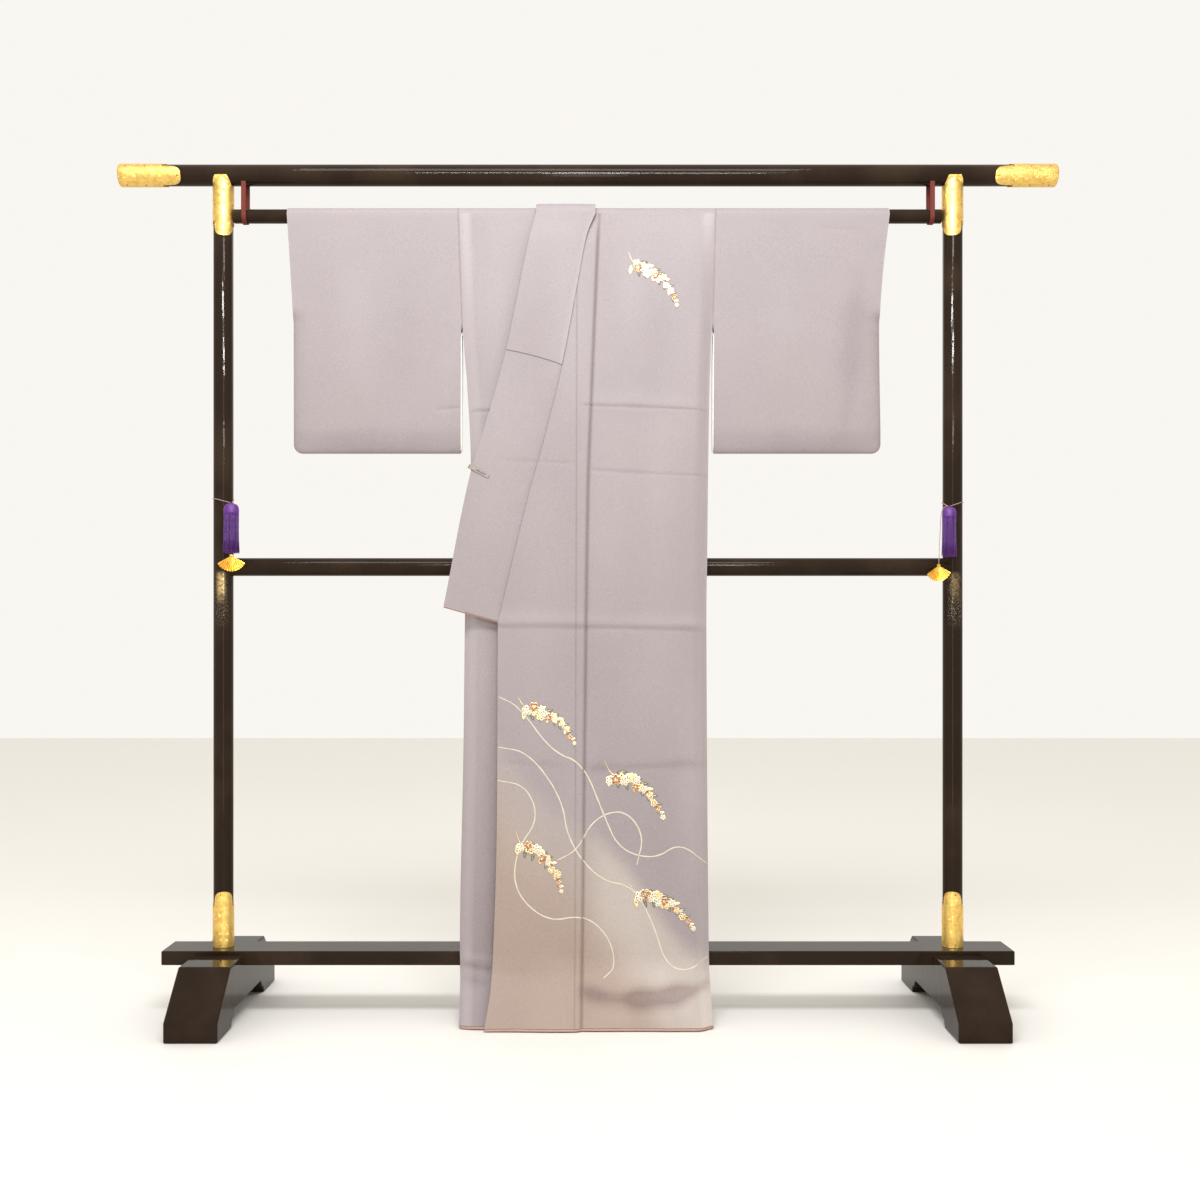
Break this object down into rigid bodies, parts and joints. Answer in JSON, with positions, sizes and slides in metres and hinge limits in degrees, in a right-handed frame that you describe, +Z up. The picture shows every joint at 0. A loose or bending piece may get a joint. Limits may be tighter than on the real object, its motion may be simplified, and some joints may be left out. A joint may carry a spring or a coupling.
{
  "type": "silk kimono on a lacquered kimono stand",
  "caption": "Mauve silk kimono with a shaded hem, hung open-sleeved over the rod of a black lacquered stand with gilt fittings and purple tassels.",
  "frame": {"origin": "on the floor, midway between the posts and midway through the feet's depth", "axes": "+X to the viewer's right as the garment's front is faced, -Y towards the viewer, +Z up"},
  "size_m": [1.871, 0.45, 1.6905],
  "materials": {
    "lacquer": "glossy dark brown-black lacquer",
    "gold": "gilt, finely engraved, satin",
    "strap": "rust-red, matt",
    "silk_mauve": "mauve-grey silk crepe, soft sheen",
    "silk_white": "white silk lining",
    "silk_russet": "russet silk lining",
    "silver": "dull silver",
    "tassel_purple": "purple silk thread",
    "string_pink": "dull pink twisted string"
  },
  "bodies": {
    "root": {"base_rail": "lacquer", "body_left_back": "silk_mauve", "body_left_front": "silk_mauve", "body_right_back": "silk_mauve", "body_right_front": "silk_mauve", "collar_clip": "silver", "collar_end_lining": "silk_russet", "collar_left": "silk_mauve", "collar_right": "silk_mauve", "fan_left": "gold", "fan_right": "gold", "foot_fitting_left": "gold", "foot_fitting_right": "gold", "foot_left": "lacquer", "foot_right": "lacquer", "hanging_rod": "lacquer", "head_fitting_left": "gold", "head_fitting_right": "gold", "hem_roll_left_back": "silk_russet", "hem_roll_left_front": "silk_russet", "hem_roll_right_back": "silk_russet", "hem_roll_right_front": "silk_russet", "middle_rail": "lacquer", "over_collar": "silk_mauve", "overlap_left": "silk_mauve", "overlap_right": "silk_mauve", "post_left": "lacquer", "post_right": "lacquer", "rail_fitting_left": "gold", "rail_fitting_right": "gold", "sleeve_left": "silk_mauve", "sleeve_lining_left": "silk_white", "sleeve_lining_right": "silk_white", "sleeve_right": "silk_mauve", "strap_left": "strap", "strap_right": "strap", "tassel_left": "tassel_purple", "tassel_right": "tassel_purple", "tassel_string_left": "string_pink", "tassel_string_right": "string_pink", "top_rail": "lacquer"}
  },
  "joints": []
}
